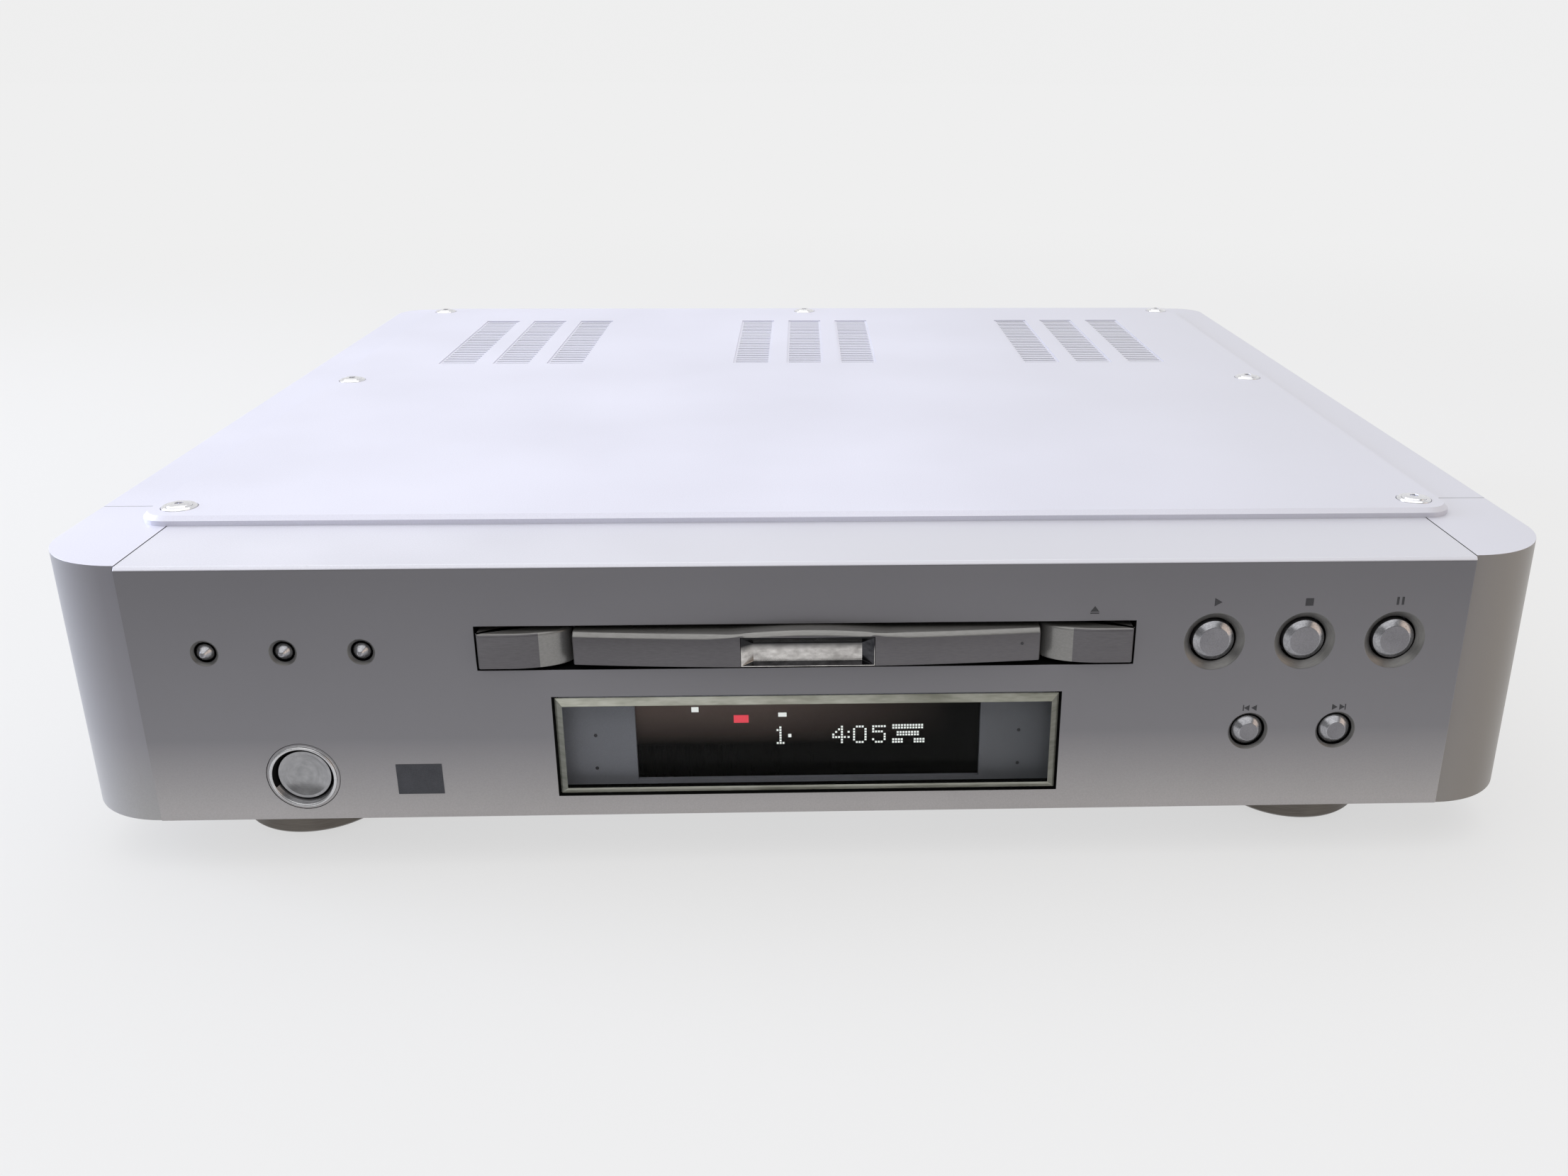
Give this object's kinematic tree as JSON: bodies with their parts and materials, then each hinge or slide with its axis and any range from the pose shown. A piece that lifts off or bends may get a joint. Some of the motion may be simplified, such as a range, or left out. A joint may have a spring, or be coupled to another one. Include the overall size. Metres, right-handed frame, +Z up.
{
  "type": "disc player with tray",
  "caption": "Full-width disc player in a rounded silver case, with a motor-driven tray in the front, a clear display window and turned push buttons.",
  "frame": {"origin": "centre of the bounding box at the level of the foot pads' undersides, which is the surface that the player stands on", "axes": "+X to the right seen from the front, +Y to the rear, +Z up"},
  "size_m": [0.458, 0.4492, 0.1048],
  "materials": {
    "panel_aluminium": "satin anodised, pale grey",
    "case_aluminium": "satin anodised, pale silver",
    "bright_steel": "bright",
    "zinc_plate": "zinc-plated sheet",
    "dark_paint": "fine black paint",
    "black_screw": "black oxide",
    "foot_metal": "turned, satin",
    "pad_rubber": "matt",
    "clear_window": "clear, polished",
    "mask_grey": "silver-grey print",
    "tube_glass": "dark glass",
    "button_metal": "turned, satin face and bright bevel",
    "front_metal": "satin anodised, mid grey",
    "board_green": "green lacquered board",
    "board_brown": "brown paper board",
    "tray_plastic": "fine moulded grain, black",
    "gear_nylon": "natural nylon",
    "belt_rubber": "matt",
    "brass": "turned",
    "lens_glass": "coated lens",
    "winding": "taped copper winding",
    "capacitor_sleeve": "printed sleeve, plain",
    "fin_aluminium": "extruded fins",
    "inlet_plastic": "moulded black",
    "jack_gold": "gold-plated"
  },
  "bodies": {
    "case": {"front_panel": "panel_aluminium", "corner_post_left": "case_aluminium", "corner_post_right": "case_aluminium", "side_cheek_left": "case_aluminium", "side_cheek_right": "case_aluminium", "top_cover": "case_aluminium", "cover_screws": "bright_steel", "bottom_plate": "zinc_plate", "rear_panel": "dark_paint", "rear_screws": "black_screw", "foot_front_left": "foot_metal", "foot_front_right": "foot_metal", "foot_rear_left": "foot_metal", "foot_rear_right": "foot_metal", "foot_pads": "pad_rubber", "foot_screws": "zinc_plate", "display_window": "clear_window", "display_mask": "mask_grey", "display_tube": "tube_glass", "power_ring": "bright_steel", "key_boards": "board_green", "loader_frame": "tray_plastic", "drive_belt": "belt_rubber", "loading_motor": "zinc_plate", "clamp_bridge": "zinc_plate", "main_board": "board_green", "audio_board": "board_green", "power_board": "board_brown", "board_standoffs": "zinc_plate", "transformer": "winding", "capacitors": "capacitor_sleeve", "heat_sink": "fin_aluminium", "mains_inlet": "inlet_plastic", "rear_jacks": "jack_gold"},
    "tray": {"disc_tray": "tray_plastic", "tray_front": "front_metal", "tray_insert": "bright_steel"},
    "tray_gear": {"tray_gear": "gear_nylon"},
    "pulley_gear": {"pulley_gear": "gear_nylon"},
    "motor_pulley": {"motor_pulley": "brass"},
    "mechanism": {"mechanism_plate": "zinc_plate", "spindle_motor": "zinc_plate", "guide_rods": "bright_steel", "feed_motor": "zinc_plate"},
    "turntable": {"turntable": "tray_plastic"},
    "sled": {"pickup_sled": "tray_plastic", "pickup_lens": "lens_glass"},
    "feed_screw": {"feed_screw": "bright_steel"},
    "disc_clamp": {"disc_clamp": "gear_nylon"},
    "power_button": {"power_button": "button_metal"},
    "play_button": {"play_button": "button_metal"},
    "stop_button": {"stop_button": "button_metal"},
    "pause_button": {"pause_button": "button_metal"},
    "previous_button": {"previous_button": "button_metal"},
    "next_button": {"next_button": "button_metal"},
    "mode_button_left": {"mode_button_left": "button_metal"},
    "mode_button_middle": {"mode_button_middle": "button_metal"},
    "mode_button_right": {"mode_button_right": "button_metal"},
    "video_button": {"video_button": "front_metal"},
    "open_close_button": {"open_close_button": "front_metal"}
  },
  "joints": [
    {"name": "tray_slide", "type": "slide", "parent": "case", "child": "tray", "axis": [0, -1, 0], "range_m": [0, 0.15]},
    {"name": "tray_gear_spin", "type": "hinge", "parent": "case", "child": "tray_gear", "pos_m": [0.054, -0.1784, 0.0625], "axis": [0, 0, 1], "range_deg": [-959.9, 5]},
    {"name": "pulley_gear_spin", "type": "hinge", "parent": "case", "child": "pulley_gear", "pos_m": [0.035, -0.1784, 0.0575], "axis": [0, 0, 1], "range_deg": [-5, 2074]},
    {"name": "motor_pulley_spin", "type": "hinge", "parent": "case", "child": "motor_pulley", "pos_m": [-0.005, -0.1784, 0.0565], "axis": [0, 0, 1], "range_deg": [-5, 8225.1]},
    {"name": "mechanism_lift", "type": "slide", "parent": "case", "child": "mechanism", "axis": [0, 0, 1], "range_m": [0, 0.0084]},
    {"name": "turntable_spin", "type": "hinge", "parent": "mechanism", "child": "turntable", "pos_m": [0, -0.1354, 0.0655], "axis": [0, 0, 1], "continuous": true},
    {"name": "sled_slide", "type": "slide", "parent": "mechanism", "child": "sled", "axis": [0, 1, 0], "range_m": [0, 0.034]},
    {"name": "feed_screw_spin", "type": "hinge", "parent": "mechanism", "child": "feed_screw", "pos_m": [0.029, -0.0794, 0.0565], "axis": [0, 1, 0], "range_deg": [-5, 3065]},
    {"name": "clamp_spin", "type": "hinge", "parent": "case", "child": "disc_clamp", "pos_m": [0, -0.1354, 0.0815], "axis": [0, 0, 1], "continuous": true},
    {"name": "power_press", "type": "slide", "parent": "case", "child": "power_button", "axis": [0, 1, 0], "range_m": [0, 0.0012], "stiffness_N_per_m": 250},
    {"name": "play_press", "type": "slide", "parent": "case", "child": "play_button", "axis": [0, 1, 0], "range_m": [0, 0.0012], "stiffness_N_per_m": 250},
    {"name": "stop_press", "type": "slide", "parent": "case", "child": "stop_button", "axis": [0, 1, 0], "range_m": [0, 0.0012], "stiffness_N_per_m": 250},
    {"name": "pause_press", "type": "slide", "parent": "case", "child": "pause_button", "axis": [0, 1, 0], "range_m": [0, 0.0012], "stiffness_N_per_m": 250},
    {"name": "previous_press", "type": "slide", "parent": "case", "child": "previous_button", "axis": [0, 1, 0], "range_m": [0, 0.0012], "stiffness_N_per_m": 250},
    {"name": "next_press", "type": "slide", "parent": "case", "child": "next_button", "axis": [0, 1, 0], "range_m": [0, 0.0012], "stiffness_N_per_m": 250},
    {"name": "mode_press_left", "type": "slide", "parent": "case", "child": "mode_button_left", "axis": [0, 1, 0], "range_m": [0, 0.0012], "stiffness_N_per_m": 250},
    {"name": "mode_press_middle", "type": "slide", "parent": "case", "child": "mode_button_middle", "axis": [0, 1, 0], "range_m": [0, 0.0012], "stiffness_N_per_m": 250},
    {"name": "mode_press_right", "type": "slide", "parent": "case", "child": "mode_button_right", "axis": [0, 1, 0], "range_m": [0, 0.0012], "stiffness_N_per_m": 250},
    {"name": "video_press", "type": "slide", "parent": "case", "child": "video_button", "axis": [0, 1, 0], "range_m": [0, 0.0012], "stiffness_N_per_m": 250},
    {"name": "open_close_press", "type": "slide", "parent": "case", "child": "open_close_button", "axis": [0, 1, 0], "range_m": [0, 0.0012], "stiffness_N_per_m": 250}
  ],
  "couplings": [
    {"joint": "tray_gear_spin", "follows": "tray_slide", "rad_per_m": -111.11},
    {"joint": "pulley_gear_spin", "follows": "tray_slide", "rad_per_m": 240.74},
    {"joint": "motor_pulley_spin", "follows": "tray_slide", "rad_per_m": 956.46},
    {"joint": "feed_screw_spin", "follows": "sled_slide", "rad_per_m": 1570.8}
  ]
}
